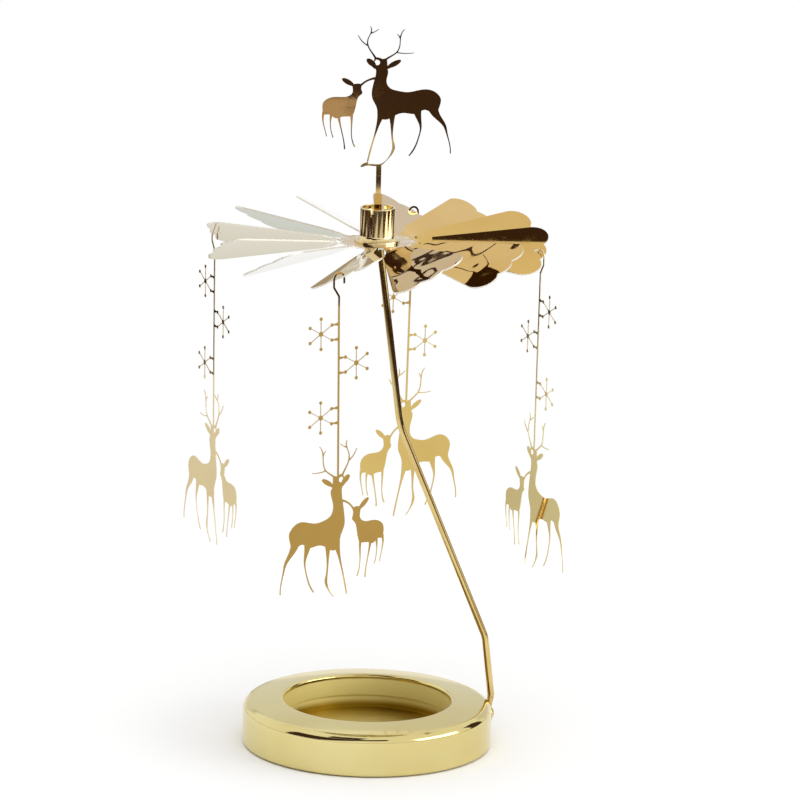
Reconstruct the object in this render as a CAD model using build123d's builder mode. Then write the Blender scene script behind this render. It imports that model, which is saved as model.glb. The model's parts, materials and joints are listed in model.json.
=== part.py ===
from build123d import *
import os
from math import asin, atan, atan2, cos, degrees, hypot, radians, sin, sqrt, tan

# Candle carousel with deer and snowflake charms.
# A hollow base holds a tealight. A bent wire stem climbs from its skirt to a needle on the middle axis.
# The wind wheel turns on the needle, with its hub, a topper and four charms hung from the blades.
# Millimetres and degrees. X is to the right, Y away from the viewer, Z up, with the origin on the table.

os.makedirs("parts", exist_ok=True)

# Clearances
press_gap = 0.03
pivot_gap = 0.12
slot_gap = 0.06
hook_gap = 0.15

# Base ring and candle dish
base_radius = 31.0
base_sheet = 0.6
hem_width = 2.2
hem_bend = 0.9
shoulder_height = 10.4
shoulder_bend = 2.2
well_radius = 20.9
lip_rise = 1.1
lip_bend = 0.9
collar_depth = 5.6
dish_lap = 3.6
dish_floor = 2.8
dish_bend = 1.6

# Stem, its foot and the rivet
stem_angle = 14.0
wire_radius = 0.85
lower_bend_inset = 1.0
lower_bend_height = 25.8
lower_bend_radius = 7.0
upper_bend_reach = 6.8
upper_bend_height = 81.2
upper_bend_radius = 6.0
needle_length = 4.5
needle_tip_radius = 0.08
foot_width = 4.4
foot_thickness = 0.9
foot_neck = 2.6
foot_taper = 2.6
rivet_height = 6.0
rivet_radius = 0.9
rivet_head_radius = 1.7
rivet_dome = 0.8
rivet_inner_head = 0.6

# Wind wheel
wheel_height = 127.5
wheel_sheet = 0.4
tip_radius = 42.0
blade_count = 12
first_blade = 19.0
blade_pitch = 26.0
disc_radius = 8.2
neck_width = 2.6
neck_straight = 0.5
neck_twist = 2.0
root_flare = 2.4
slit_width = 0.9
lobe_radius = 4.1
hook_hole_radius = 0.9
hook_hole_inset = 2.0

# Hub and pivot plug
hub_radius = 4.3
hub_wall = 0.55
hub_height = 8.5
flange_radius = 5.6
flange_thickness = 0.7
flange_flare = 1.0
clinch_radius = 5.3
clinch_thickness = 0.6
rim_notch_width = 0.7
rim_notch_depth = 1.8
rim_notch_angle = 70.0
tip_above_wheel = 4.4
cone_radius = 1.5
cone_depth = 1.5
plug_web = 0.8
tab_seat = 2.2

# Topper
figure_sheet = 0.4
topper_scale = (0.97, 0.97)
topper_rise = 45.5
tab_width = 2.1
tab_rise = 3.4
post_width = 1.5

# Charms: the number of the blade that each hangs from, and its turn from that blade's line
charm_places = {"front": (8, 43.0), "right": (11, 52.0), "rear": (2, 43.0), "left": (5, 52.0)}
charm_scale = (0.94, 1.05)
charm_neck = 2.1
bow_radius = 1.5
strip_width = 0.75
tail_length = 1.3
leg_length = 1.9
neck_drop = 4.2
flake_drops = (12.8, 21.2, 33.4)
flake_offset = 5.2
flake_radius = 3.7
flake_arm = 0.4
flake_dot = 0.55
flake_core = 0.75
flake_root = 1.1
crown_drop = 48.5

# Drawing of the deer: lines below the crown of the stag's head, before scaling, and the eye
jaw_line = -2.4
shoulder_line = -7.6
ground_line = -27.1
eye_radius = 0.55

# Heights and places that follow from the sizes above
lip_height = shoulder_height + lip_rise
dish_radius = well_radius + base_sheet + press_gap
dish_top = lip_height - collar_depth + dish_lap
wheel_top = wheel_height + wheel_sheet / 2
wheel_under = wheel_height - wheel_sheet / 2
tip_height = wheel_height + tip_above_wheel
hub_bore = hub_radius - hub_wall
hub_top = wheel_top + hub_height
cone_top = tip_height + pivot_gap
plug_bottom = cone_top - cone_depth
plug_top = cone_top + plug_web + tab_seat
tab_bottom = plug_top - tab_seat + slot_gap
topper_crown = wheel_height + topper_rise
blade_spacing = 360.0 / blade_count
hole_circle = tip_radius - hook_hole_inset
lobe_circle = tip_radius - lobe_radius


def heading(angle):
    """Unit vector across the table at an angle from X."""
    return Vector(cos(radians(angle)), sin(radians(angle)), 0)


def upright_plane(origin, angle):
    """Plane that stands on the table, its x along the angle and its y up."""
    return Plane(origin=origin, x_dir=heading(angle), z_dir=heading(angle - 90))


def limb(*stations):
    """Tapering strip through stations of x, y and width."""
    left = []
    right = []
    last = len(stations) - 1
    for index, (x, y, width) in enumerate(stations):
        before = stations[max(index - 1, 0)]
        after = stations[min(index + 1, last)]
        along = Vector(after[0] - before[0], after[1] - before[1]).normalized()
        across = Vector(-along.Y, along.X) * (width / 2)
        left.append(Vector(x, y) + across)
        right.append(Vector(x, y) - across)
    with BuildSketch() as strip:
        with BuildLine():
            Spline(*left)
            Line(left[-1], right[-1])
            Spline(*reversed(right))
            Line(right[0], left[0])
        make_face()
    return strip.sketch


def deer_pair(scale, neck=0):
    """Stag at the right and doe at the left, drawn about the crown of the stag's head.

    A longer neck lowers all that is below the stag's jaw, the doe too."""
    wide, tall = scale

    def place(x, y):
        """Point of the drawing, scaled and lowered."""
        below_jaw = min(max((jaw_line - y) / (jaw_line - shoulder_line), 0), 1)
        return x * wide, y * tall - neck * below_jaw

    def outline(*points):
        """Closed smooth shape through the points."""
        with BuildSketch() as shape:
            with BuildLine():
                Spline(*[place(x, y) for x, y in points], periodic=True)
            make_face()
        return shape.sketch

    def strip(*stations):
        """Limb with its places scaled and its widths kept."""
        return limb(*[(*place(x, y), width) for x, y, width in stations])

    stag = [
        outline(  # neck, chest, belly, rump and back
            (-1.4, -2.4), (-1.5, -4.7), (-2.2, -7.6), (-2.1, -10.2), (-0.9, -12.8), (-0.5, -14.8),
            (1.5, -15.6), (3.6, -14.6), (6.1, -13.8), (9.0, -13.9), (11.4, -12.9), (13.9, -14.0),
            (15.0, -12.0), (15.3, -9.8), (14.2, -8.3), (11.8, -7.4), (9.3, -7.7), (6.9, -8.2),
            (4.3, -7.9), (2.5, -7.3), (1.6, -5.6), (1.6, -2.4),
        ),
        outline(  # head
            (-1.7, -0.1), (0.0, 0.0), (1.4, 0.1), (1.7, -1.2), (1.6, -2.6), (0.9, -3.6),
            (-0.8, -3.6), (-1.5, -2.6), (-1.9, -1.2),
        ),
        strip((-1.0, -2.2, 1.6), (-2.3, -1.1, 1.5), (-3.5, -0.2, 0.9)),  # ears
        strip((1.2, -2.4, 1.0), (3.0, -1.5, 1.0), (4.9, -0.3, 0.9)),
        strip(  # left antler
            (-1.2, -0.2, 0.8), (-2.6, 1.9, 0.6), (-3.4, 3.5, 0.55), (-3.4, 4.9, 0.5), (-2.7, 6.5, 0.5),
            (-2.9, 8.3, 0.4),
        ),
        strip((-3.3, 3.2, 0.5), (-4.8, 4.3, 0.5), (-5.9, 6.0, 0.4)),
        strip((-2.7, 6.4, 0.5), (-1.8, 6.8, 0.45), (-0.6, 7.6, 0.4)),
        strip(  # right antler
            (0.9, -0.4, 0.8), (2.6, 0.8, 0.6), (4.0, 1.9, 0.55), (4.6, 3.4, 0.5), (4.7, 5.0, 0.5),
            (5.9, 7.7, 0.4),
        ),
        strip((3.8, 1.7, 0.5), (5.7, 1.5, 0.45), (8.3, 1.7, 0.4)),
        strip((4.7, 5.0, 0.5), (4.4, 5.8, 0.45), (3.8, 6.5, 0.4)),
        strip(  # hind legs
            (13.4, -12.0, 3.0), (14.8, -14.8, 1.6), (16.3, -16.7, 1.0), (16.9, -18.6, 0.65), (17.7, -21.5, 0.5),
            (17.9, -23.9, 0.5),
        ),
        strip(
            (9.3, -12.6, 2.6), (9.9, -15.3, 1.3), (10.3, -17.3, 0.7), (9.9, -19.6, 0.55), (9.2, -21.8, 0.6),
            (7.4, -24.7, 0.5),
        ),
        strip((0.3, -14.0, 2.2), (-0.6, -17.4, 0.9), (-1.6, -21.0, 0.6), (-2.9, -26.5, 0.55)),  # fore legs
        strip(
            (3.0, -13.6, 2.2), (3.1, -17.4, 0.9), (3.3, -20.6, 0.7), (3.6, -22.5, 0.95), (2.7, -24.8, 0.55),
            (1.2, -26.5, 0.5),
        ),
    ]
    doe = [
        outline(  # head, neck and body
            (-7.0, -6.6), (-5.8, -6.3), (-4.7, -6.6), (-4.7, -7.7), (-4.4, -8.8), (-5.2, -9.7), (-5.8, -11.2),
            (-6.2, -13.2), (-6.9, -14.7), (-9.4, -15.1), (-11.2, -15.5), (-12.8, -14.6), (-14.0, -14.6),
            (-14.6, -13.2), (-14.3, -11.2), (-13.0, -10.2), (-10.6, -9.8), (-8.2, -9.6), (-7.1, -8.6),
        ),
        strip((-6.3, -7.1, 0.8), (-8.2, -6.2, 1.0), (-9.6, -5.3, 0.7)),  # ears, one held by the stag's neck
        strip((-5.1, -7.0, 0.8), (-3.3, -5.6, 0.7), (-1.0, -4.9, 0.9)),
        strip((-14.0, -13.6, 1.1), (-14.1, -17.1, 0.5), (-13.6, -18.9, 0.45), (-13.3, -20.2, 0.45)),  # legs
        strip((-12.2, -14.4, 1.0), (-12.4, -17.1, 0.5), (-12.1, -19.0, 0.45), (-11.6, -20.5, 0.45)),
        strip((-10.4, -14.6, 1.1), (-9.7, -18.0, 0.55), (-9.1, -20.5, 0.5), (-8.7, -23.4, 0.6)),
        strip((-7.2, -14.0, 1.1), (-7.1, -18.5, 0.5), (-6.8, -21.1, 0.5), (-6.1, -22.7, 0.6)),
    ]
    with BuildSketch() as pair:
        for piece in stag + doe:
            add(piece)
        with Locations(place(-0.95, -0.95)):
            Circle(eye_radius, mode=Mode.SUBTRACT)
    return pair.sketch


def snowflake():
    """Six arms with a dot at each end and a dot in the middle, one arm straight up."""
    with BuildSketch() as flake:
        Circle(flake_core)
        with PolarLocations(flake_radius / 2, 6, start_angle=90):
            Rectangle(flake_radius, flake_arm)
        with PolarLocations(flake_radius, 6, start_angle=90):
            Circle(flake_dot)
    return flake.sketch


# Base ring: one sheet turned from the hem under the skirt, over the top and down into the well
foot_plane = Plane(
    origin=heading(stem_angle) * (base_radius + press_gap) + Vector(0, 0, rivet_height),
    x_dir=heading(stem_angle + 90),
    z_dir=heading(stem_angle),
)
with BuildPart() as base_ring:
    with BuildSketch(Plane.XZ):
        with BuildLine():
            FilletPolyline(
                (base_radius - hem_width, 0),
                (base_radius, 0),
                (base_radius, shoulder_height),
                (well_radius, lip_height),
                (well_radius, lip_height - collar_depth),
                radius=(hem_bend, shoulder_bend, lip_bend),
            )
            offset(amount=base_sheet, side=Side.LEFT)
        make_face()
    revolve(axis=Axis.Z)
    with BuildSketch(foot_plane):
        Circle(rivet_radius + press_gap)
    extrude(amount=-2 * base_sheet, mode=Mode.SUBTRACT)

# Candle dish: a shallow cup whose wall laps the outside of the collar
with BuildPart() as candle_dish:
    with BuildSketch(Plane.XZ):
        with BuildLine():
            FilletPolyline((0, dish_floor), (dish_radius, dish_floor), (dish_radius, dish_top), radius=dish_bend)
            offset(amount=base_sheet, side=Side.RIGHT)
        make_face()
    revolve(axis=Axis.Z)

# Stem: a wire in one upright plane, flattened at the foot and ground to a needle at the tip
foot_top = rivet_height + foot_width / 2
foot_middle = base_radius + press_gap + foot_thickness / 2
upper_run = tip_height - upper_bend_height
needle_share = needle_length / hypot(upper_bend_reach, upper_run)
with BuildPart() as stem:
    with BuildLine(upright_plane((0, 0, 0), stem_angle)) as route:
        FilletPolyline(
            (base_radius + press_gap + wire_radius, foot_top + foot_taper),
            (base_radius - lower_bend_inset, lower_bend_height),
            (upper_bend_reach, upper_bend_height),
            (upper_bend_reach * needle_share, tip_height - upper_run * needle_share),
            radius=(lower_bend_radius, upper_bend_radius),
        )
    wire_start = Plane(origin=route.line @ 0, x_dir=heading(stem_angle + 90), z_dir=route.line % 0)
    with BuildSketch(wire_start):
        Circle(wire_radius)
    sweep(path=route.line)
    with BuildSketch(Plane(origin=route.line @ 1, z_dir=route.line % 1)):
        Circle(wire_radius)
    extrude(amount=needle_length, taper=degrees(atan((wire_radius - needle_tip_radius) / needle_length)))
    with BuildSketch(foot_plane):
        Circle(foot_width / 2)
        with Locations((0, foot_width / 4)):
            Rectangle(foot_neck, foot_width / 2)
        Circle(rivet_radius + press_gap, mode=Mode.SUBTRACT)
    extrude(amount=foot_thickness)
    foot_end = heading(stem_angle) * foot_middle + Vector(0, 0, foot_top)
    with BuildSketch(Plane(origin=foot_end, x_dir=heading(stem_angle + 90), z_dir=(0, 0, 1))):
        Rectangle(foot_neck, foot_thickness)
    with BuildSketch(wire_start):
        Circle(wire_radius)
    loft()

# Rivet: a dome outside the foot and a flat head inside the skirt
rivet_axis = Axis((0, 0, rivet_height), heading(stem_angle))
dome_seat = base_radius + press_gap + foot_thickness + press_gap
inner_seat = sqrt((base_radius - base_sheet) ** 2 - rivet_head_radius**2) - press_gap
with BuildPart() as stem_rivet:
    with BuildSketch(upright_plane((0, 0, rivet_height), stem_angle)):
        with BuildLine():
            Polyline(
                (dome_seat + rivet_dome, 0),
                (inner_seat - rivet_inner_head, 0),
                (inner_seat - rivet_inner_head, rivet_head_radius),
                (inner_seat, rivet_head_radius),
                (inner_seat, rivet_radius),
                (dome_seat, rivet_radius),
                (dome_seat, rivet_head_radius),
            )
            TangentArc((dome_seat + rivet_dome, 0), (dome_seat, rivet_head_radius), tangent=(0, 1))
        make_face()
    revolve(axis=rivet_axis)

# Wind wheel: a flat disc whose blades are twisted at their necks, the leading edge of each one up
half_sector = blade_spacing / 2
twist_start = disc_radius + neck_straight
twist_end = twist_start + neck_twist
corner_turn = half_sector - degrees(asin((lobe_radius + slit_width / 2) / lobe_circle))
middle_lobe = Vector(lobe_circle, 0)
corner_lobe = heading(corner_turn) * lobe_circle
corner_edge = corner_lobe + heading(half_sector + 90) * lobe_radius
flare_start = twist_end + root_flare
flare_width = flare_start * tan(radians(half_sector)) - slit_width / 2 / cos(radians(half_sector))
blade_side = [Vector(twist_end, neck_width / 2), Vector(flare_start, flare_width), corner_edge, corner_lobe]
flat_plane = Plane(origin=(0, 0, wheel_height))
blade_plane = flat_plane.rotated((blade_pitch, 0, 0))
with BuildPart() as blade:
    with BuildSketch(blade_plane):
        with BuildLine():
            Polyline(*blade_side, middle_lobe, *[Vector(p.X, -p.Y) for p in reversed(blade_side)], close=True)
        make_face()
        with Locations(middle_lobe, corner_lobe, Vector(corner_lobe.X, -corner_lobe.Y)):
            Circle(lobe_radius)
    extrude(amount=wheel_sheet / 2, both=True)
    for place, turn in ((twist_start, 0), (twist_end, blade_pitch)):
        with BuildSketch(Plane(origin=(place, 0, wheel_height), x_dir=(0, 1, 0), z_dir=(1, 0, 0))):
            Rectangle(neck_width, wheel_sheet, rotation=turn)
    loft()
    with BuildSketch(flat_plane):
        with Locations((twist_start / 2, 0)):
            Rectangle(twist_start, neck_width)
    extrude(amount=wheel_sheet / 2, both=True)
with BuildPart() as wind_wheel:
    with BuildSketch(flat_plane):
        Circle(disc_radius)
    extrude(amount=wheel_sheet / 2, both=True)
    with PolarLocations(0, blade_count, start_angle=first_blade):
        add(blade.part)
    with BuildSketch(flat_plane):
        Circle(hub_radius + press_gap)
    extrude(amount=wheel_sheet, both=True, mode=Mode.SUBTRACT)
    for number, turn in charm_places.values():
        blade_angle = first_blade + number * blade_spacing
        with BuildSketch(blade_plane.rotated((0, 0, blade_angle), ordering=Extrinsic.XYZ)):
            with Locations((hole_circle, 0)):
                Circle(hook_hole_radius)
        extrude(amount=wheel_sheet, both=True, mode=Mode.SUBTRACT)

# Hub tube: flanged above the wheel and clinched below it, its rim notched across
with BuildPart() as hub_tube:
    with BuildSketch(Plane.XZ):
        with BuildLine():
            FilletPolyline(
                (hub_bore, wheel_under - press_gap - clinch_thickness),
                (clinch_radius, wheel_under - press_gap - clinch_thickness),
                (clinch_radius, wheel_under - press_gap),
                (hub_radius, wheel_under - press_gap),
                (hub_radius, wheel_top + press_gap),
                (flange_radius, wheel_top + press_gap),
                (flange_radius, wheel_top + press_gap + flange_thickness),
                (hub_radius, wheel_top + press_gap + flange_thickness),
                (hub_radius, hub_top),
                (hub_bore, hub_top),
                radius=(0, clinch_thickness / 2, 0, 0, 0, 0, flange_thickness / 2, flange_flare, 0, 0),
                close=True,
            )
        make_face()
    revolve(axis=Axis.Z)
    with BuildSketch(Plane(origin=(0, 0, hub_top), x_dir=heading(rim_notch_angle), z_dir=(0, 0, 1))):
        Rectangle(4 * hub_radius, rim_notch_width)
    extrude(amount=-rim_notch_depth, mode=Mode.SUBTRACT)

# Pivot plug: pressed into the hub, with a cone that sits on the needle and a slot for the topper's tab
with BuildPart() as pivot_plug:
    with BuildSketch(Plane.XZ):
        with BuildLine():
            Polyline(
                (0, cone_top),
                (cone_radius, plug_bottom),
                (hub_bore - press_gap, plug_bottom),
                (hub_bore - press_gap, plug_top),
                (0, plug_top),
                close=True,
            )
        make_face()
    revolve(axis=Axis.Z)
    with BuildSketch(Plane(origin=(0, 0, plug_top))):
        Rectangle(tab_width + 2 * slot_gap, figure_sheet + 2 * slot_gap)
    extrude(amount=-tab_seat, mode=Mode.SUBTRACT)

# Topper: the deer on a strip post, all cut from one sheet
step_height = topper_crown + ground_line * topper_scale[1]
with BuildPart() as deer_topper:
    with BuildSketch(upright_plane((0, 0, 0), 0)):
        with Locations((0, topper_crown)):
            add(deer_pair(topper_scale))
        with Locations((0, step_height)):
            add(limb((-3.8, -0.3, 0.5), (-2.4, 0, 0.7), (-0.6, -0.1, 0.7), (1.4, 0.8, 0.5)))
            Rectangle(post_width, step_height - tab_bottom, align=(Align.CENTER, Align.MAX))
        with Locations((0, tab_bottom)):
            Rectangle(tab_width, hub_top + tab_rise - tab_bottom, align=(Align.CENTER, Align.MIN))
    extrude(amount=figure_sheet / 2, both=True)


def bow_centre(blade_angle, turn):
    """Middle of a hook's bow: over the lip between the hole and the blade's edge, resting on it."""
    out = cos(radians(turn))
    across = sin(radians(turn)) / cos(radians(blade_pitch))
    stretch = out**2 + across**2
    inset = hole_circle - lobe_circle
    lip_inner = hook_hole_radius / sqrt(stretch)
    lip_outer = (sqrt((inset * out) ** 2 - stretch * (inset**2 - lobe_radius**2)) - inset * out) / stretch
    lip_middle = (lip_inner + lip_outer) / 2
    half_lip = (lip_outer - lip_inner) / 2
    lip_fall = lip_inner * sin(radians(turn)) * tan(radians(blade_pitch))
    lip_top = wheel_height + wheel_sheet / 2 / cos(radians(blade_pitch)) - lip_fall
    bow_inner = bow_radius - strip_width / 2
    height = lip_top + hook_gap - sqrt(bow_inner**2 - half_lip**2)
    place = heading(blade_angle) * hole_circle + heading(blade_angle - turn) * lip_middle
    return Vector(place.X, place.Y, height)


# Outline of a charm about the middle of its hook's bow: the hook, a strip with snowflakes, and the deer
with BuildSketch() as charm_outline:
    Circle(bow_radius + strip_width / 2)
    Circle(bow_radius - strip_width / 2, mode=Mode.SUBTRACT)
    Rectangle(4 * bow_radius, 4 * bow_radius, align=(Align.CENTER, Align.MAX), mode=Mode.SUBTRACT)
    for leg_place, length in ((-bow_radius, tail_length), (bow_radius, leg_length)):
        with Locations((leg_place, 0)):
            Rectangle(strip_width, length, align=(Align.CENTER, Align.MAX))
    add(limb((bow_radius, -leg_length, strip_width), (0, -neck_drop, strip_width)))
    with Locations((bow_radius, -leg_length), (0, -neck_drop)):
        Circle(strip_width / 2)
    with Locations((0, -neck_drop)):
        Rectangle(strip_width, crown_drop - neck_drop, align=(Align.CENTER, Align.MAX))
    for number, drop in enumerate(flake_drops):
        toward = 1 if number % 2 == 0 else -1
        with Locations((toward * flake_offset, -drop)):
            add(snowflake())
        reach = toward * (flake_offset - flake_radius * cos(radians(30)))
        for rise in (-flake_radius / 2, flake_radius / 2):
            add(limb((reach, rise - drop, flake_arm), (0, rise - drop, flake_root)))
    with Locations((0, -crown_drop)):
        add(deer_pair(charm_scale, charm_neck))

# Charms: each hangs at rest, turned about its bow until its weight is straight below
weight = charm_outline.face().center(CenterOf.MASS)
lean = degrees(atan2(weight.X, -weight.Y))
for side, (number, turn) in charm_places.items():
    blade_angle = first_blade + number * blade_spacing
    pivot = bow_centre(blade_angle, turn)
    with BuildPart() as charm:
        with BuildSketch(upright_plane(pivot, blade_angle - turn)):
            add(charm_outline.sketch, rotation=-lean)
        extrude(amount=figure_sheet / 2, both=True)
    name = f"charm_{side}"
    charm.part.label = name
    export_step(charm.part, f"parts/{name}.step")
    axis = heading(blade_angle - turn - 90)
    print(name, "pivot", [round(value, 4) for value in pivot], "axis", [round(value, 6) for value in axis])

for name, piece in (
    ("base_ring", base_ring),
    ("candle_dish", candle_dish),
    ("stem", stem),
    ("stem_rivet", stem_rivet),
    ("wind_wheel", wind_wheel),
    ("hub_tube", hub_tube),
    ("pivot_plug", pivot_plug),
    ("deer_topper", deer_topper),
):
    piece.part.label = name
    export_step(piece.part, f"parts/{name}.step")
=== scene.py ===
import json
from math import cos, radians, sin

import bpy
import numpy as np
from mathutils import Matrix, Vector


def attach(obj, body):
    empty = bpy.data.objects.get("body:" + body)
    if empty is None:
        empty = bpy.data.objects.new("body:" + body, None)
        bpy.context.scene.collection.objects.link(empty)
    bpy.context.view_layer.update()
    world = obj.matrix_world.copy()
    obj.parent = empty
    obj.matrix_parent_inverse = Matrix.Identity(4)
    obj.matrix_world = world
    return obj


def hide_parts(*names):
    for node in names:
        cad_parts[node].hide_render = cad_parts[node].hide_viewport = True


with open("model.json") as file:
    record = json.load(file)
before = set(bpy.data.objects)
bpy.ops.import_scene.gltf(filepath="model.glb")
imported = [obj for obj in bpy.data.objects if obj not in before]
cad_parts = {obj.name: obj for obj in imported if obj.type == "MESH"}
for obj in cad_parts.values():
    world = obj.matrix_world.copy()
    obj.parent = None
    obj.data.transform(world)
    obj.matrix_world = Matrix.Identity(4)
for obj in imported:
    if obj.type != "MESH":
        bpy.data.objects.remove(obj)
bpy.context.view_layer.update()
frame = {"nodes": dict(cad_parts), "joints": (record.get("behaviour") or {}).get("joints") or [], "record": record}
scene = bpy.context.scene
scene.view_settings.view_transform = "Standard"

# Camera: a long lens a little above the wheel, rolled to the photograph's slight lean
AIM = Vector((0.0, 0.0, 0.090))
DISTANCE = 1.5
ELEVATION = 13.35
ROLL = 1.25
LENS = 274.1
SHIFT = (0.0326, -0.0114)

# Studio: the floor, how far out it has faded to the backdrop's white, and the fill on matt surfaces
FLOOR_RADIUS = 4.0
FLOOR_LEVEL = -0.0002
FLOOR_STEPS = 96
FLOOR_FADE = (0.16, 0.34)
FLOOR_WHITE = (0.96, 0.96, 0.96)
FILL_LIGHT = 0.64

# What polished metal reflects: a dark table and room round the lit paper, and white behind it.
# Each corner of a band of the room has an azimuth, a lower and an upper elevation in degrees.
ROOM_DARK = (0.055, 0.030, 0.024)
ROOM_REACH = 2.4
ROOM_STEPS = 64
ROOM_BANDS = (((192, 3, 42), (226, 3, 42), (262, 29, 44), (292, 29, 46)), ((380, 0, 30), (400, 0, 30)))
TABLE_FADE = (0.16, 0.42)
CARD_LEVEL = 0.0005

# Sizes of the new pieces in millimetres, in the CAD frame, with angles in degrees
MM = 0.001
BASE_OUTLINE = ((28.8, 0.0), (31.0, 0.0), (31.0, 10.4), (20.9, 11.5), (20.9, 6.2))
BASE_BENDS = (0.9, 2.2, 0.65)
DISH_OUTLINE = ((0.4, 2.8), (21.53, 2.8), (21.53, 9.2))
DISH_BENDS = (0.1,)
BASE_SHEET = 0.6
STEM_ANGLE = 14.0
STEM_ROUTE = ((31.88, 10.8), (30.0, 25.8), (6.8, 81.2), (0.0, 131.9))
STEM_BENDS = (10.0, 20.0)
WIRE_RADIUS = 0.85
NEEDLE_LENGTH = 4.5
NEEDLE_TIP = 0.08
FOOT_MIDDLE = (31.48, 6.0)
FOOT_RADIUS = 2.2
FOOT_NECK = 1.3
FOOT_DEPTH = 0.45
HUB_OUTLINE = (
    (3.75, 130.0), (3.75, 126.67), (5.3, 126.67), (5.3, 127.27), (4.3, 127.27), (4.3, 127.73), (5.6, 127.73),
    (5.6, 128.43), (4.3, 128.43), (4.3, 136.2), (3.75, 136.2), (3.75, 133.0),
)
HUB_BENDS = (0.0, 0.3, 0.0, 0.0, 0.0, 0.0, 0.35, 1.0, 0.15, 0.15)
NOTCH_ANGLE = 70.0
NOTCH_WIDTH = 0.7
NOTCH_FLOOR = 134.4

# Half the turn in which a notch's wall rises, in radians
NOTCH_WALL = 1e-3
# Superellipse powers of the stem's flat foot and round wire, and the tilts where the foot's round end
# starts and stops
FOOT_POWER = 6.0
WIRE_POWER = 2.0
FOOT_TILTS = (-86, 90)

# Figures: how far their outline is drawn in, the share of the CAD sheet's gauge that is left, the limit of
# a mitre at sharp corners, and how much thicker a leaf is than the sheet
FIGURE_INSET = 0.12
FIGURE_GAUGE = 0.45
MITRE_LIMIT = 0.4
LEAF_PROUD = 0.01
# Reading of their CAD meshes: the digits of a metre that tell points apart, the doubled area of a sliver in
# square metres, and the turn from the sheet, in degrees, past which a face is its edge
MERGE_DIGITS = 7
SLIVER = 1e-14
EDGE_TURN = 60
# Ears of the deer, brow of the stag and its hoof on the post: root, end and half the width of each leaf as
# drawn. A leaf runs a little past its end, and back over most of the way to its root.
LEAVES = (
    ((-1.0, -2.2), (-3.5, -0.2), 0.72),
    ((1.2, -2.4), (4.9, -0.3), 0.62),
    ((-6.3, -7.1), (-9.6, -5.3), 0.62),
    ((-1.8, 0.3), (0.4, -0.25), 0.3),
)
HOOF = ((-2.4, -26.4), (-4.5, -27.6), 0.36)
LEAF_PAST_END = 0.1
LEAF_REACH = 0.9
JAW_LINE = -2.4
SHOULDER_LINE = -7.6
TOPPER_CROWN = 173.0
TOPPER_SCALE = (0.97, 0.97)
CHARM_CROWN = -48.5
CHARM_SCALE = (0.94, 1.05)
CHARM_NECK = 2.1
CHARM_LEAN = -0.98

# Points of the new meshes: round the base, hub, wire and leaves, along the foot, its neck and a bend, and
# in a rim. An edge stays sharp from an angle in degrees.
BASE_STEPS = 192
HUB_STEPS = 160
WIRE_STEPS = 28
LEAF_STEPS = 32
FOOT_STEPS = 23
NECK_STEPS = 7
BEND_STEPS = 12
HUB_BEND_STEPS = 8
RIM_STEPS = 5
SHARP_EDGE = 40

# Plated surface: the spans of noise that show as clouds, smudges and scratches. Scratches run two ways,
# each with a scale, a stretch and a span.
CLOUD_SPAN = (0.35, 0.68)
SMUDGE_SCALE = 160.0
SMUDGE_SPAN = (0.5, 0.75)
SCRATCH_WAYS = ((900.0, (0.04, 1.0, 1.0), (0.64, 0.72)), (1100.0, (1.0, 1.0, 0.05), (0.65, 0.73)))
SCRATCH_TURN = (0.3, 0.9, 0.5)
SCRATCH_DEPTH = 1e-5

# Wheel sheet in metres: blades and the middle line of the first in degrees, crown in metres per square
# metre, the dented sector in degrees with its fade in radians, and the crumpled heart
BLADE_COUNT = 12
FIRST_BLADE = 19
BLADE_CROWN = 1.6
DENTED = (274, 334)
DENT_FADE = 0.05
DENT_DEPTH = 5e-4
DENT_SCALE = 95.0
HEART_RADIUS = 0.0135
HEART_FADE = 0.002
HEART_CRUMPLE = 2.5e-4
CRUMPLE_SCALE = 260.0
# Upward part of the normal: from the underside to the top, and from the cut edges to the sheet
SIDE_SPAN = (-0.3, 0.3)
EDGE_SPAN = (0.5, 0.7)
EDGE_ROUGHNESS = 0.5
EDGE_METAL = 0.35

# Well of the base in metres: the radius and the height where its satin gives way to the bright outside, the
# heights where the collar's paler finish starts, fading down the dish's upper wall as painted light, and the
# radii over which painted shade darkens the well's bottom toward the dish's wall
WELL_SIDE = (0.0217, 0.0221)
WELL_TOP = (0.0100, 0.0107)
COLLAR_START = (0.0034, 0.0060)
DISH_SHADE_RADII = (0.008, 0.021)


# Shader nodes


def node(tree, kind, values=None, **settings):
    """New shader node with its settings and the values of its named or numbered inputs."""
    made = tree.nodes.new(kind)
    for name, value in settings.items():
        setattr(made, name, value)
    for name, value in (values or {}).items():
        made.inputs[name].default_value = value
    return made


def feed(tree, socket, value):
    """Link a socket to an input, or set the input to a plain value."""
    if isinstance(value, bpy.types.NodeSocket):
        tree.links.new(value, socket)
    else:
        socket.default_value = value


def math_node(tree, operation, *inputs):
    """Maths on sockets or numbers. Returns the output socket."""
    made = node(tree, "ShaderNodeMath", operation=operation)
    for place, value in enumerate(inputs):
        feed(tree, made.inputs[place], value)
    return made.outputs[0]


def ramp(tree, value, low, high, out_low=0.0, out_high=1.0):
    """Smooth step of a socket from one span of values to another. Returns the output socket."""
    made = node(tree, "ShaderNodeMapRange", interpolation_type="SMOOTHSTEP")
    inputs = {"Value": value, "From Min": low, "From Max": high, "To Min": out_low, "To Max": out_high}
    for name, number in inputs.items():
        feed(tree, made.inputs[name], number)
    return made.outputs["Result"]


def mix_colour(tree, share, first, second):
    """Mix of two colours, each a socket or a colour. Returns the output socket."""
    made = node(tree, "ShaderNodeMix", data_type="RGBA")
    for place, value in ((0, share), (6, first), (7, second)):
        feed(tree, made.inputs[place], value)
    return made.outputs[2]


def parts_of(tree, vector):
    """X, Y and Z sockets of a vector socket."""
    split = node(tree, "ShaderNodeSeparateXYZ")
    tree.links.new(vector, split.inputs[0])
    return split.outputs


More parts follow.
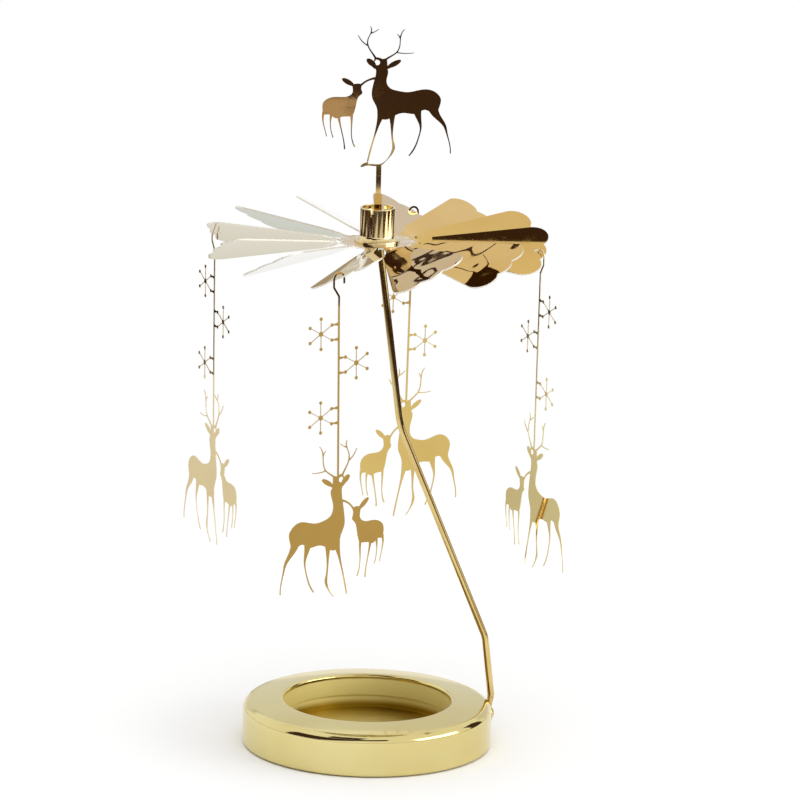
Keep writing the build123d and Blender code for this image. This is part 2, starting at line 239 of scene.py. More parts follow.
def piece_place(tree):
    """Place on the piece in its own frame, as a socket."""
    return node(tree, "ShaderNodeTexCoord").outputs["Object"]


def axis_distance(tree, place):
    """Distance of a place from the Z axis, as a socket."""
    x, y, _ = parts_of(tree, place)
    return math_node(tree, "SQRT", math_node(tree, "MULTIPLY_ADD", x, x, math_node(tree, "MULTIPLY", y, y)))


def seen_directly(tree):
    """1 for the camera's rays and for reflected and refracted ones, as a socket."""
    path = node(tree, "ShaderNodeLightPath")
    seen = math_node(tree, "MAXIMUM", path.outputs["Is Camera Ray"], path.outputs["Is Glossy Ray"])
    return math_node(tree, "MAXIMUM", seen, path.outputs["Is Transmission Ray"])


def noise(tree, place, scale, detail, roughness=0.5):
    """Noise at a place, its scale a socket or a number, as a socket."""
    made = node(tree, "ShaderNodeTexNoise", {"Detail": detail, "Roughness": roughness})
    tree.links.new(place, made.inputs["Vector"])
    feed(tree, made.inputs["Scale"], scale)
    return made.outputs["Fac"]


def colour(red, green, blue):
    """Linear colour with full alpha."""
    return (red, green, blue, 1.0)


def new_group(name, inputs, outputs):
    """Empty shader node group with named sockets. Returns the group, its inputs and its result."""
    group = bpy.data.node_groups.new(name, "ShaderNodeTree")
    for way, sockets in (("INPUT", inputs), ("OUTPUT", outputs)):
        for socket, kind in sockets:
            group.interface.new_socket(name=socket, in_out=way, socket_type=f"NodeSocket{kind}")
    return group, group.nodes.new("NodeGroupInput").outputs, group.nodes.new("NodeGroupOutput").inputs


def new_material(name):
    """Material with an empty node tree and an output. Returns it, its tree and its surface socket."""
    material = bpy.data.materials.new(name)
    material.use_nodes = True
    material.node_tree.nodes.clear()
    output = node(material.node_tree, "ShaderNodeOutputMaterial", name="output")
    return material, material.node_tree, output.inputs["Surface"]


def plate_group():
    """Node group for a polished plated surface.

    Colour drifts between two tints in broad soft clouds. Roughness is a floor value plus handling smudges
    and fine scratches. Height is the slow waviness of rolled sheet less the depth of the scratches."""
    group, given, result = new_group(
        "plated_surface",
        (
            ("Tint", "Color"), ("Deep Tint", "Color"), ("Cloud Scale", "Float"), ("Smoothness", "Float"),
            ("Smudge", "Float"), ("Scratch", "Float"), ("Wave Scale", "Float"), ("Wave", "Float"),
        ),
        (("Color", "Color"), ("Roughness", "Float"), ("Height", "Float")),
    )
    place = piece_place(group)

    def scratched(scale, stretch, span):
        """Fine lines one way: noise on a place that is stretched along an axis, cut to its upper values."""
        mapping = node(group, "ShaderNodeMapping", {"Scale": stretch, "Rotation": SCRATCH_TURN})
        group.links.new(place, mapping.inputs["Vector"])
        return ramp(group, noise(group, mapping.outputs["Vector"], scale, detail=2.0), *span)

    clouds = ramp(group, noise(group, place, given["Cloud Scale"], detail=3.0), *CLOUD_SPAN)
    group.links.new(mix_colour(group, clouds, given["Tint"], given["Deep Tint"]), result["Color"])
    marks = ramp(group, noise(group, place, SMUDGE_SCALE, detail=4.0, roughness=0.6), *SMUDGE_SPAN)
    smudges = math_node(group, "MULTIPLY", marks, given["Smudge"])
    lines = math_node(group, "MAXIMUM", *(scratched(*way) for way in SCRATCH_WAYS))
    scratches = math_node(group, "MULTIPLY", lines, given["Scratch"])
    rough = math_node(group, "ADD", math_node(group, "ADD", given["Smoothness"], smudges), scratches)
    group.links.new(rough, result["Roughness"])
    waves = math_node(group, "MULTIPLY", noise(group, place, given["Wave Scale"], detail=1.0), given["Wave"])
    group.links.new(math_node(group, "MULTIPLY_ADD", scratches, -SCRATCH_DEPTH, waves), result["Height"])
    return group


def blade_group():
    """Node group for the form of the wheel's sheet.

    Height falls with the square of the distance from each blade's middle line, so that every blade is a
    little crowned. Two handled blades carry soft dents, and the heart of the sheet is crumpled by the
    clinched hub. Underside is 1 on faces that look down, Cut Edge is 1 on the sheet's edges."""
    group, _, result = new_group(
        "blade_form", (), (("Height", "Float"), ("Underside", "Float"), ("Cut Edge", "Float"))
    )
    place = piece_place(group)
    x, y, _ = parts_of(group, place)
    angle = math_node(group, "ARCTAN2", y, x)
    radius = axis_distance(group, place)
    step = radians(360 / BLADE_COUNT)
    turns = math_node(group, "MULTIPLY_ADD", angle, 1 / step, 0.5 - radians(FIRST_BLADE) / step)
    off_middle = math_node(group, "SUBTRACT", math_node(group, "FRACT", turns), 0.5)
    across = math_node(group, "MULTIPLY", math_node(group, "MULTIPLY", off_middle, step), radius)
    crown = math_node(group, "MULTIPLY", math_node(group, "MULTIPLY", across, across), -BLADE_CROWN)
    begin, end = (radians(value - 360) for value in DENTED)
    begun = ramp(group, angle, begin - DENT_FADE, begin + DENT_FADE)
    not_ended = ramp(group, angle, end - DENT_FADE, end + DENT_FADE, 1.0, 0.0)
    sector = math_node(group, "MULTIPLY", begun, not_ended)
    dent = math_node(group, "MULTIPLY", noise(group, place, DENT_SCALE, detail=0.5), sector)
    dents = math_node(group, "MULTIPLY", dent, DENT_DEPTH)
    heart = ramp(group, radius, HEART_RADIUS - HEART_FADE, HEART_RADIUS, HEART_CRUMPLE, 0.0)
    crumples = math_node(group, "MULTIPLY", noise(group, place, CRUMPLE_SCALE, detail=0.5), heart)
    form = math_node(group, "ADD", math_node(group, "ADD", crown, dents), crumples)
    _, _, facing = parts_of(group, node(group, "ShaderNodeNewGeometry").outputs["Normal"])
    side = ramp(group, facing, *SIDE_SPAN, -1.0, 1.0)
    flatness = math_node(group, "ABSOLUTE", facing)
    group.links.new(math_node(group, "MULTIPLY", form, side), result["Height"])
    group.links.new(ramp(group, facing, *SIDE_SPAN, 1.0, 0.0), result["Underside"])
    group.links.new(ramp(group, flatness, *EDGE_SPAN, 1.0, 0.0), result["Cut Edge"])
    return group


# Materials of the object

plated = plate_group()


def plated_metal(
    name, tint, deep, cloud=40.0, smooth=0.06, smudge=0.06, scratch=0.06, wave_scale=60.0, wave=0.0
):
    """Polished plate: the shared surface feeds colour, roughness and bump of a metal."""
    material, tree, surface = new_material(name)
    shader = node(tree, "ShaderNodeBsdfPrincipled", {"Metallic": 1.0}, name="metal")
    tree.links.new(shader.outputs[0], surface)
    values = {
        "Tint": colour(*tint), "Deep Tint": colour(*deep), "Cloud Scale": cloud, "Smoothness": smooth,
        "Smudge": smudge, "Scratch": scratch, "Wave Scale": wave_scale, "Wave": wave,
    }
    plate = node(tree, "ShaderNodeGroup", values, node_tree=plated, name="plate")
    tree.links.new(plate.outputs["Color"], shader.inputs["Base Color"])
    tree.links.new(plate.outputs["Roughness"], shader.inputs["Roughness"])
    bump = node(tree, "ShaderNodeBump", {"Strength": 1.0, "Distance": 1.0}, name="relief")
    tree.links.new(plate.outputs["Height"], bump.inputs["Height"])
    tree.links.new(bump.outputs["Normal"], shader.inputs["Normal"])
    return material


def pale_pressing():
    """Pale gold plate of the base: bright outside, satin inside the well, where no polishing wheel reaches,
    with a paler and duller collar whose paleness runs on down the dish's upper wall as painted light, and
    painted shade, a dark amber that deepens at the well's bottom toward the dish's wall."""
    bright, satin, collar_satin, collar_metal = 0.08, 0.36, 0.24, 0.5
    # Painted shade at the well's bottom: its share in the dish's middle and at the dish's wall, then its dark
    # amber colour beside the collar's paler tint
    middle_shade, wall_shade = 0.1, 0.95
    corner_shade_tint, collar_tint = colour(0.37, 0.24, 0.01), colour(0.92, 0.80, 0.33)
    material = plated_metal(
        "pale_gold_pressing", (0.75, 0.65, 0.30), (0.71, 0.59, 0.25), wave_scale=45.0, wave=5e-5
    )
    tree = material.node_tree
    shader, plate = tree.nodes["metal"], tree.nodes["plate"]
    place = piece_place(tree)
    radius = axis_distance(tree, place)
    _, _, height = parts_of(tree, place)
    inside = ramp(tree, radius, *WELL_SIDE, 1.0, 0.0)
    well = math_node(tree, "MULTIPLY", inside, ramp(tree, height, *WELL_TOP, 1.0, 0.0))
    # Collar's paler, duller finish; below the collar's foot it fades down the dish's upper wall as painted light
    collar = math_node(tree, "MULTIPLY", well, ramp(tree, height, *COLLAR_START))
    dish = math_node(tree, "SUBTRACT", well, collar)
    well_finish = ramp(tree, well, 0.0, 1.0, bright, satin)
    finish = math_node(tree, "ADD", well_finish, math_node(tree, "MULTIPLY", collar, collar_satin))
    tree.links.new(finish, plate.inputs["Smoothness"])
    tree.links.new(ramp(tree, collar, 0.0, 1.0, 1.0, collar_metal), shader.inputs["Metallic"])
    # Painted shade: the dish darkened toward its wall, deepest in the corner at the well's bottom
    deep = math_node(tree, "MULTIPLY", dish, ramp(tree, radius, *DISH_SHADE_RADII, middle_shade, wall_shade))
    tint = mix_colour(tree, deep, plate.outputs["Color"], corner_shade_tint)
    tree.links.new(mix_colour(tree, collar, tint, collar_tint), shader.inputs["Base Color"])
    return material


def lacquer(shader, index):
    """Clear smooth lacquer over a metal, with its index of refraction."""
    for socket, value in (("Coat Weight", 1.0), ("Coat Roughness", 0.02), ("Coat IOR", index)):
        shader.inputs[socket].default_value = value


def dull_edges(material, mask, tint, smooth, edge):
    """Sawn and tumbled edges of a sheet: where the mask is 1 the plate is dull, paler and less a mirror."""
    tree = material.node_tree
    shader, plate = tree.nodes["metal"], tree.nodes["plate"]
    tree.links.new(mix_colour(tree, mask, tint, colour(*edge)), shader.inputs["Base Color"])
    tree.links.new(ramp(tree, mask, 0.0, 1.0, smooth, EDGE_ROUGHNESS), plate.inputs["Smoothness"])
    tree.links.new(ramp(tree, mask, 0.0, 1.0, 1.0, EDGE_METAL), shader.inputs["Metallic"])


def wheel_sheet():
    """Mirror gold sheet of the wheel under clear lacquer, with crowned and dented blades, a paler underside
    that is painted sheen standing in for its washed-out reflection of the white floor, and dull cut edges."""
    material = plated_metal(
        "gold_wheel_sheet", (0.67, 0.43, 0.105), (0.62, 0.38, 0.085), smudge=0.03, scratch=0.03
    )
    tree = material.node_tree
    shader, plate, relief = (tree.nodes[name] for name in ("metal", "plate", "relief"))
    lacquer(shader, index=1.3)
    form = node(tree, "ShaderNodeGroup", node_tree=blade_group())
    height = math_node(tree, "ADD", plate.outputs["Height"], form.outputs["Height"])
    tree.links.new(height, relief.inputs["Height"])
    tree.links.new(relief.outputs["Normal"], shader.inputs["Coat Normal"])
    # Painted sheen: the underside made paler and less golden, like its washed-out reflection of the white floor
    underside_sheen_tint = colour(0.46, 0.42, 0.27)
    tint = mix_colour(tree, form.outputs["Underside"], plate.outputs["Color"], underside_sheen_tint)
    dull_edges(material, form.outputs["Cut Edge"], tint, smooth=0.02, edge=(0.86, 0.82, 0.72))
    return material


def figure_sheet():
    """Mirror gold sheet of the figures under clear lacquer, a little wavy, with dull edges."""
    material = plated_metal(
        "gold_figure_sheet", (0.71, 0.51, 0.19), (0.66, 0.45, 0.15),
        smudge=0.03, scratch=0.02, wave_scale=35.0, wave=6e-5,
    )
    tree = material.node_tree
    lacquer(tree.nodes["metal"], index=1.5)
    cut_edge = node(tree, "ShaderNodeAttribute", attribute_name="cut_edge").outputs["Fac"]
    tint = tree.nodes["plate"].outputs["Color"]
    dull_edges(material, cut_edge, tint, smooth=0.03, edge=(0.80, 0.70, 0.48))
    return material


finishes = {
    "base_gold": pale_pressing(),
    "wire_gold": plated_metal("gold_wire", (0.72, 0.56, 0.24), (0.62, 0.44, 0.16), cloud=80.0),
    "wheel_gold": wheel_sheet(),
    "hub_gold": plated_metal(
        "gold_hub", (0.84, 0.72, 0.43), (0.76, 0.61, 0.33), cloud=120.0, smooth=0.11, scratch=0.03
    ),
    "figure_gold": figure_sheet(),
}
slot_of = {row["node"]: row["material_slot"] for row in frame["record"]["subparts"]}
for name, piece in frame["nodes"].items():
    piece.material_slots[0].material = finishes[slot_of[name]]


# New pieces


def new_mesh(name, points, faces, material):
    """Mesh object at the origin from points in metres and arrays of faces, with a face's corners a row."""
    mesh = bpy.data.meshes.new(name)
    mesh.from_pydata(points.tolist(), [], [face for group in faces for face in group.tolist()])
    mesh.materials.append(material)
    made = bpy.data.objects.new(name, mesh)
    scene.collection.objects.link(made)
    return made


def outward(points, faces):
    """Groups of faces of a closed skin, reversed if the volume inside them comes out negative. The volume
    is the sum of the triple products of the faces' triangles, seen from the points' middle."""
    triangles = np.vstack(
        [group[:, (0, step, step + 1)] for group in faces for step in range(1, group.shape[1] - 1)]
    )
    first, second, third = (points[triangles[:, column]] - points.mean(axis=0) for column in range(3))
    volume = np.einsum("ij,ij->", first, np.cross(second, third))
    return [group[:, ::-1] if volume < 0 else group for group in faces]


def new_piece(name, points, faces, body, node_name):
    """Piece of the object in place of a CAD node: smooth but for its sharp edges."""
    made = new_mesh(name, points, faces, finishes[slot_of[node_name]])
    made.data.shade_smooth()
    made.data.set_sharp_from_angle(angle=radians(SHARP_EDGE))
    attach(made, body)
    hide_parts(node_name)
    return made


def full_turn(count):
    """Angles of a full turn in equal steps."""
    return np.linspace(0, 2 * np.pi, count, endpoint=False)


def turned(x, y, angle):
    """Coordinates turned about the origin by an angle in degrees."""
    c, s = cos(radians(angle)), sin(radians(angle))
    return x * c - y * s, x * s + y * c


def rounded_path(points, bends, steps=BEND_STEPS):
    """Path through points with its inner corners rounded: a corner with a bend gives way to the arc that
    touches both sides, in equal steps of angle."""
    points = np.array(points, float)
    share = np.linspace(0, 1, steps + 1)[:, None]
    path = [points[0]]
    for before, corner, after, bend in zip(points, points[1:], points[2:], bends):
        if not bend:
            path.append(corner)
            continue
        back = (before - corner) / np.linalg.norm(before - corner)
        ahead = (after - corner) / np.linalg.norm(after - corner)
        half = np.arccos(back @ ahead) / 2
        middle = corner + (back + ahead) / np.linalg.norm(back + ahead) * bend / np.sin(half)
        first, last = (corner + side * bend / np.tan(half) - middle for side in (back, ahead))
        sweep = np.pi - 2 * half
        arc = np.sin((1 - share) * sweep) * first + np.sin(share * sweep) * last
        path.extend(middle + arc / np.sin(sweep))
    return np.array(path + [points[-1]])


def directions(path):
    """Unit direction at each point of a path: that of the chord between its neighbours."""
    along = np.gradient(path, axis=0)
    return along / np.linalg.norm(along, axis=1)[:, None]


def sheet_section(path, gauge):
    """Closed section of a sheet: a path, and the same path set off to its left by the gauge, joined by half
    rounds that bulge along the path's ends."""
    along = directions(path)
    other = path + gauge * np.column_stack((-along[:, 1], along[:, 0]))
    turn = np.linspace(0, np.pi, RIM_STEPS + 2)[1:-1, None]

    def half_round(start, end, bulge):
        """Half circle from one side of the sheet to the other."""
        middle = (start + end) / 2
        return middle + (start - middle) * np.cos(turn) + bulge * abs(gauge) / 2 * np.sin(turn)

    far_rim = half_round(path[-1], other[-1], along[-1])
    near_rim = half_round(other[0], path[0], -along[0])
    return np.vstack((path, far_rim, other[::-1], near_rim))


def skin(rings, loop=False):
    """Points and faces of rings of points joined in order, into a loop or closed by a point in the middle
    of each end ring."""
    count, around = rings.shape[:2]
    row = np.arange(count if loop else count - 1)[:, None] * around
    here = np.arange(around)
    beside = (here + 1) % around
    above = (row + around) % (count * around)
    sides = np.stack((row + here, row + beside, above + beside, above + here), axis=-1)
    points = rings.reshape(-1, 3)
    faces = [sides.reshape(-1, 4)]
    if not loop:
        last = (count - 1) * around
        middle = np.full(around, count * around)
        points = np.vstack((points, rings[0].mean(axis=0), rings[-1].mean(axis=0)))
        faces.append(np.column_stack((beside, here, middle)))
        faces.append(np.column_stack((last + here, last + beside, middle + 1)))
    return points, outward(points, faces)


def turned_rings(section, turn):
    """Rings of a surface of revolution: each point of a section of radius and height, turned about Z."""
    radius, height = section[:, :1], section[:, 1:]
    return np.stack((radius * np.cos(turn), radius * np.sin(turn), height + 0 * turn), axis=-1)


def pressed_base():
    """Base ring and candle dish: each a sheet along a rounded outline of radius and height, turned about
    the axis. The dish needs no rim at the axis, where a middle point closes each of its sides."""
    turn = full_turn(BASE_STEPS)
    ring = sheet_section(rounded_path(BASE_OUTLINE, BASE_BENDS), BASE_SHEET)
    new_piece("pressed_ring", *skin(MM * turned_rings(ring, turn), loop=True), "stand", "base_ring")
    dish = sheet_section(rounded_path(DISH_OUTLINE, DISH_BENDS), -BASE_SHEET)[:-RIM_STEPS]
    new_piece("drawn_dish", *skin(MM * turned_rings(dish, turn)), "stand", "candle_dish")


def notched_hub():
    """Hub: a flanged tube's outline of radius and height turned about the axis, with its height held down
    to the notches' floor where the turn is within half a notch of either end of the line across the rim.
    Two turns close together at each side of a notch make its wall."""
    across = radians(NOTCH_ANGLE)
    half = np.arcsin(NOTCH_WIDTH / 2 / HUB_OUTLINE[-2][0])
    sides = [across + end + side for end in (0, np.pi) for side in (-half, half)]
    walls = np.add.outer(sides, (-NOTCH_WALL, NOTCH_WALL)).ravel()
    turn = np.sort(np.concatenate((full_turn(HUB_STEPS), walls)))
    rings = turned_rings(rounded_path(HUB_OUTLINE, HUB_BENDS, HUB_BEND_STEPS), turn)
    notched = np.abs(np.sin(turn - across)) < np.sin(half)
    rings[..., 2] = np.minimum(rings[..., 2], np.where(notched, NOTCH_FLOOR, np.inf))
    new_piece("notched_hub", *skin(MM * rings, loop=True), "carousel", "hub_tube")


def wire_stem():
    """Stem: a superellipse along a path in one upright plane. The foot is flat, wide and squarish and its
    end is round; it narrows to the round wire, which follows two bends and tapers to the needle's tip."""
    route = rounded_path(STEM_ROUTE, STEM_BENDS)
    run = route[-1] - route[-2]
    needle = route[-1] - run / np.linalg.norm(run) * NEEDLE_LENGTH
    route = np.vstack((route[:-1], needle, route[-1]))
    tilt = np.radians(np.linspace(*FOOT_TILTS, FOOT_STEPS))
    foot = FOOT_MIDDLE + FOOT_RADIUS * np.column_stack((0 * tilt, np.sin(tilt)))
    share = np.linspace(0, 1, NECK_STEPS + 2)[1:-1]
    ease = share * share * (3 - 2 * share)
    neck = foot[-1] + np.column_stack((ease, share)) * (route[0] - foot[-1])
    path = np.vstack((foot, neck, route))

    def carried(at_foot, at_wire):
        """Value along the path: the foot's, then eased over the neck to the wire's, then the wire's."""
        at_neck = at_foot[-1] + ease * (at_wire[0] - at_foot[-1])
        return np.concatenate((at_foot, at_neck, at_wire))[:, None]

    wire = np.full(len(route), WIRE_RADIUS)
    wire[-1] = NEEDLE_TIP
    width = FOOT_RADIUS * np.cos(tilt)
    wide = carried(np.where(tilt > 0, np.maximum(width, FOOT_NECK), width), wire)
    deep = carried(np.full(FOOT_STEPS, FOOT_DEPTH), wire)
    power = 2 / carried(np.full(FOOT_STEPS, FOOT_POWER), np.full(len(route), WIRE_POWER))
    across, out = np.cos(full_turn(WIRE_STEPS)), np.sin(full_turn(WIRE_STEPS))
    sideways = wide * np.sign(across) * np.abs(across) ** power
    raised = deep * np.sign(out) * np.abs(out) ** power
    along = directions(path)
    reach = path[:, :1] + raised * along[:, 1:]
    height = path[:, 1:] - raised * along[:, :1]
    rings = np.stack((*turned(reach, sideways, STEM_ANGLE), height), axis=-1)
    new_piece("wire_stem", *skin(MM * rings), "stand", "stem")


def leaves_of(origin, across, thick, drawn, crown, scale, neck, lean):
    """Ears, brow and hoof as leaves: flat ellipses along each one's line to its end, drawn about the crown
    of the stag's head, scaled, lowered below the jaw by the neck, turned by the lean about the origin and
    set upright along a direction."""
    turn = full_turn(LEAF_STEPS)[:, None]
    upward = np.array((0.0, 0.0, 1.0))
    aside = np.cross(across, upward) * thick / 2
    leaves = []
    for *ends, half_width in drawn:
        drop = np.clip([(JAW_LINE - y) / (JAW_LINE - SHOULDER_LINE) for _, y in ends], 0, 1)
        root, end = np.array(ends) * scale + np.column_stack((0 * drop, crown - neck * drop))
        length = np.linalg.norm(end - root)
        along = (end - root) / length
        half_length = LEAF_REACH * length / 2
        middle = end + along * (LEAF_PAST_END - half_length)
        beside = np.array((-along[1], along[0]))
        flat = middle + half_length * np.cos(turn) * along + half_width * np.sin(turn) * beside
        sideways, height = turned(flat[:, :1], flat[:, 1:], lean)
        upright = origin + MM * (sideways * across + height * upward)
        leaves.append(skin(np.stack((upright - aside, upright + aside))))
    return leaves


def merged_triangles(mesh):
    """Points of a mesh with doubles merged, and its triangles' corners, unit normals and doubled areas."""
    mesh.calc_loop_triangles()
    points = np.empty(len(mesh.vertices) * 3)
    mesh.vertices.foreach_get("co", points)
    corners = np.empty(len(mesh.loop_triangles) * 3, int)
    mesh.loop_triangles.foreach_get("vertices", corners)
    points, merged = np.unique(points.reshape(-1, 3).round(MERGE_DIGITS), axis=0, return_inverse=True)
    corners = merged.reshape(-1)[corners].reshape(-1, 3)
    first, second, third = (points[corners[:, column]] for column in range(3))
    normals = np.cross(second - first, third - first)
    area = np.linalg.norm(normals, axis=1)
    keep = area > SLIVER
    return points, corners[keep], normals[keep] / area[keep, None], area[keep]


def etched_figure(name, body, node_name, origin, across, *drawing):
    """Flat figure from its CAD mesh with the points merged: its outline is drawn in along the edges'
    normals by an inset, mitred at the corners, and its sheet is thinned toward its middle plane by a share.
    Leaves cover its ears, brow and hoof."""
    points, corners, normals, area = merged_triangles(frame["nodes"][node_name].data)
    sheet = normals[np.argmax(area)]
    edges = np.abs(normals @ sheet) < cos(radians(EDGE_TURN))
    pull, weight = np.zeros_like(points), np.zeros(len(points))
    for column in range(3):
        here, ahead, back = (points[corners[edges, (column + step) % 3]] for step in range(3))
        ahead, back = ahead - here, back - here
        sine = np.linalg.norm(np.cross(ahead, back), axis=1)
        angle = np.arctan2(sine, np.einsum("ij,ij->i", ahead, back))
        np.add.at(pull, corners[edges, column], angle[:, None] * normals[edges])
        np.add.at(weight, corners[edges, column], angle)
    pull = pull / np.maximum(weight, 1e-9)[:, None]
    mitre = np.maximum(np.einsum("ij,ij->i", pull, pull), MITRE_LIMIT)
    points = points - MM * FIGURE_INSET * pull / mitre[:, None]
    depth = (points - points.mean(axis=0)) @ sheet
    depth = depth - (depth.max() + depth.min()) / 2
    points = points - np.outer(depth * (1 - FIGURE_GAUGE), sheet)
    thick = (depth.max() - depth.min()) * FIGURE_GAUGE + LEAF_PROUD * MM
    faces, cut_edge = outward(points, [corners]), [edges]
    for leaf, sides in leaves_of(origin, across, thick, *drawing):
        faces += [group + len(points) for group in sides]
        cut_edge += [np.full(len(group), group.shape[1] == 4) for group in sides]
        points = np.vstack((points, leaf))
    made = new_piece(name, points, faces, body, node_name)
    mask = made.data.attributes.new("cut_edge", "FLOAT", "FACE")
    mask.data.foreach_set("value", np.concatenate(cut_edge).astype(np.float32))


pressed_base()
notched_hub()
wire_stem()
etched_figure(
    "etched_topper", "topper", "deer_topper", np.zeros(3), np.array((1.0, 0.0, 0.0)),
    LEAVES + (HOOF,), TOPPER_CROWN, TOPPER_SCALE, 0.0, 0.0,
)
for joint in frame["joints"]:
    charm = joint["child"]
    if charm.startswith("charm_"):
        across = np.cross((0.0, 0.0, 1.0), joint["axis"])
        etched_figure(
            "etched_" + charm, charm, charm, np.array(joint["pos_m"]), across,
            LEAVES, CHARM_CROWN, CHARM_SCALE, CHARM_NECK, CHARM_LEAN,
        )


# Studio


def cloth(name, tint):
    """Even cloth of a flag or card, far out of focus."""
    material, tree, surface = new_material(name)
    tone = node(tree, "ShaderNodeEmission", {"Color": colour(*tint)}, name="tone")
    tree.links.new(tone.outputs[0], surface)
    return material


def one_face(name, points, material):
    """Flat mesh of one face through points in order."""
    return new_mesh(name, points, [np.arange(len(points))[None, :]], material)


def rectangle(left, front, right, back):
    """Corners of a rectangle in order, as x and y."""
    return np.array(((left, front), (right, front), (right, back), (left, back)))


def reflected_only(card):
    """Keep a flag out of the picture and the light, so that only polished metal shows it."""
    for ray in ("camera", "diffuse", "transmission", "volume_scatter", "shadow"):
        setattr(card, f"visible_{ray}", False)


def place_from(azimuth, elevation, distance):
    """Point at a distance from the aim point, in a direction given in degrees."""
    turn, rise = radians(azimuth), radians(elevation)
    return AIM + distance * Vector((cos(rise) * cos(turn), cos(rise) * sin(turn), sin(rise)))


def facing_aim(place, lean=0.0):
    """Turn of a lamp, camera or card that looks at the aim point, leaning about that line by degrees."""
    return (AIM - place).to_track_quat("-Z", "Y").to_matrix() @ Matrix.Rotation(radians(lean), 3, "Z")


def flag(name, azimuth, elevation, distance, width, height, tint=ROOM_DARK, lean=0.0):
    """Flat flag or card that faces the object, turned about the line to it by a lean in degrees."""
    place = place_from(azimuth, elevation, distance)
    sideways_up = np.array(facing_aim(place, lean))[:, :2]
    corners = rectangle(-width / 2, -height / 2, width / 2, height / 2)
    reflected_only(one_face(name, np.array(place) + corners @ sideways_up.T, cloth(name + "_cloth", tint)))


def floor_card(name, corners, tint):
    """Card that lies on the table."""
    points = np.column_stack((corners, np.full(len(corners), CARD_LEVEL)))
    reflected_only(one_face(name, points, cloth(name + "_cloth", tint)))


def dark_table():
    """Dark table beyond the lit paper: it starts softly at the sides and in front, not at the back."""
    material = cloth("dark_table_cloth", ROOM_DARK)
    tree = material.node_tree
    x, y, _ = parts_of(tree, piece_place(tree))
    front = math_node(tree, "MINIMUM", y, 0.0)
    away = math_node(tree, "MULTIPLY_ADD", x, x, math_node(tree, "MULTIPLY", front, front))
    blend = node(tree, "ShaderNodeMixShader")
    tree.links.new(ramp(tree, math_node(tree, "SQRT", away), *TABLE_FADE), blend.inputs[0])
    tree.links.new(node(tree, "ShaderNodeBsdfTransparent").outputs[0], blend.inputs[1])
    tree.links.new(tree.nodes["tone"].outputs[0], blend.inputs[2])
    tree.links.new(blend.outputs[0], tree.nodes["output"].inputs["Surface"])
    corners = rectangle(-ROOM_REACH, -ROOM_REACH, ROOM_REACH, ROOM_REACH)
    reflected_only(one_face("dark_table", np.column_stack((corners, np.zeros(4))), material))


def dark_room():
    """Dark room in front and at the sides: upright bands on a circle round the object, between a lower and
    an upper elevation that change in straight steps from one azimuth to the next."""
    drape = cloth("dark_room_cloth", ROOM_DARK)
    first = np.arange(ROOM_STEPS)
    above = first + ROOM_STEPS + 1
    faces = [np.column_stack((first, first + 1, above + 1, above))]
    for number, band in enumerate(ROOM_BANDS):
        azimuth, *elevations = np.radians(band).T
        turn = np.linspace(azimuth[0], azimuth[-1], ROOM_STEPS + 1)
        rises = [np.interp(turn, azimuth, elevation) for elevation in elevations]
        edges = [np.column_stack((np.cos(turn), np.sin(turn), np.tan(rise))) for rise in rises]
        reflected_only(new_mesh(f"dark_room_{number}", ROOM_REACH * np.vstack(edges), faces, drape))


def studio_floor():
    """White disc on the table's level. Near the object it is matt and takes the shadow; further out it
    fades to the backdrop's plain white."""
    material, tree, surface = new_material("white_floor")
    far = ramp(tree, axis_distance(tree, piece_place(tree)), *FLOOR_FADE)
    matt = node(tree, "ShaderNodeBsdfDiffuse", {"Color": colour(*FLOOR_WHITE)})
    blend = node(tree, "ShaderNodeMixShader")
    tree.links.new(math_node(tree, "MULTIPLY", seen_directly(tree), far), blend.inputs[0])
    tree.links.new(matt.outputs[0], blend.inputs[1])
    tree.links.new(node(tree, "ShaderNodeEmission").outputs[0], blend.inputs[2])
    tree.links.new(blend.outputs[0], surface)
    turn = full_turn(FLOOR_STEPS)
    disc = FLOOR_RADIUS * np.column_stack((np.cos(turn), np.sin(turn)))
    one_face("studio_floor", np.column_stack((disc, np.full(len(turn), FLOOR_LEVEL))), material)


def studio_world():
    """Plain white all round for the camera and for reflections, and a softer fill for matt surfaces."""
    scene.world = bpy.data.worlds.new("studio")
    scene.world.use_nodes = True
    tree = scene.world.node_tree
    tree.nodes.clear()
    sky = node(tree, "ShaderNodeBackground", {"Color": colour(1, 1, 1)})
    tree.links.new(ramp(tree, seen_directly(tree), 0.0, 1.0, FILL_LIGHT, 1.0), sky.inputs["Strength"])
    tree.links.new(sky.outputs[0], node(tree, "ShaderNodeOutputWorld").inputs["Surface"])


def soft_light(name, azimuth, elevation, distance, width, height, power, mirrored):
    """Rectangular soft box that faces the object, with or without its own reflection in the metal."""
    lamp = bpy.data.lights.new(name, "AREA")
    lamp.shape = "RECTANGLE"
    lamp.size, lamp.size_y = width, height
    lamp.energy = power
    holder = bpy.data.objects.new(name, lamp)
    holder.location = place_from(azimuth, elevation, distance)
    holder.rotation_euler = facing_aim(holder.location).to_euler()
    holder.visible_camera = False
    holder.visible_glossy = mirrored
    scene.collection.objects.link(holder)


def studio_camera():
    """Camera on its arc round the aim point."""
    lens = bpy.data.cameras.new("camera")
    lens.lens = LENS
    lens.sensor_width = 36.0
    lens.shift_x, lens.shift_y = SHIFT
    lens.clip_start, lens.clip_end = 0.1, 20.0
    holder = bpy.data.objects.new("camera", lens)
    place = place_from(270, ELEVATION, DISTANCE)
    holder.matrix_world = Matrix.Translation(place) @ facing_aim(place, ROLL).to_4x4()
    scene.collection.objects.link(holder)
    scene.camera = holder


studio_floor()
studio_world()
dark_table()
dark_room()

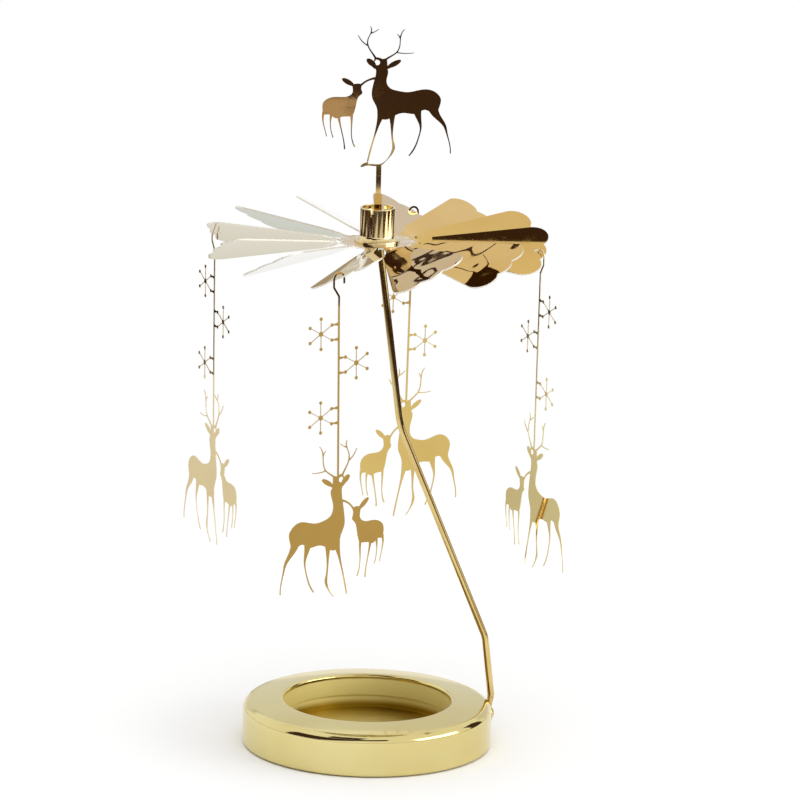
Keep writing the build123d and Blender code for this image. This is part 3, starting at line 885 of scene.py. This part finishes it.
# Flags and cards round the object, each for the reflection that it makes in the metal
flag("grey_backdrop", azimuth=88, elevation=17, distance=2.3, width=3.6, height=1.0, tint=(0.80, 0.80, 0.80))
flag("boom", azimuth=100, elevation=58.4, distance=2.0, width=0.5, height=0.28)
flag("bar_high", azimuth=114, elevation=46, distance=2.0, width=0.9, height=0.02, lean=8)
flag("bar_low", azimuth=110, elevation=23, distance=2.0, width=0.6, height=0.026, lean=-6)
flag("ceiling_flag", azimuth=246, elevation=53, distance=1.2, width=0.55, height=0.5)
flag("low_card", azimuth=97.2, elevation=1.9, distance=2.0, width=0.2, height=0.24, tint=(0.40, 0.31, 0.19))
floor_card("doe_paper", rectangle(-0.3, -0.872, -0.0054, -0.80), tint=(0.60, 0.48, 0.44))
floor_card("leg_paper", rectangle(-0.0085, -0.79, 0.0085, -0.742), tint=(0.80, 0.78, 0.66))
floor_card("post_paper", rectangle(-0.02, -0.70, 0.01, -0.60), tint=(1.0, 0.96, 0.86))
floor_card("side_paper", rectangle(0.12, -0.24, 0.50, -0.10), tint=(0.63, 0.54, 0.33))
floor_card("far_side_paper", rectangle(0.12, -0.10, 0.50, 0.02), tint=(0.95, 0.94, 0.71))
floor_card("rear_paper", rectangle(-0.10, 0.10, 0.02, 0.21), tint=(1.0, 0.97, 0.92))
floor_card("far_rear_paper", rectangle(-0.10, 0.21, -0.025, 0.35), tint=(0.73, 0.75, 0.70))
left_corners = ((-0.12, 0.01), (-0.08, 0.06), (-0.34, 0.25), (-0.38, 0.20))
floor_card("left_paper", left_corners, tint=(0.90, 0.94, 0.96))
far_left_corners = ((-0.08, 0.06), (-0.045, 0.11), (-0.24, 0.25), (-0.275, 0.20))
floor_card("far_left_paper", far_left_corners, tint=(0.76, 0.82, 0.74))

soft_light(
    "overhead", azimuth=270, elevation=78, distance=1.6, width=1.5, height=2.1, power=17.0, mirrored=False
)
soft_light(
    "window", azimuth=340, elevation=15, distance=1.7, width=1.4, height=0.64, power=8.5, mirrored=True
)
studio_camera()

bpy.context.view_layer.update()
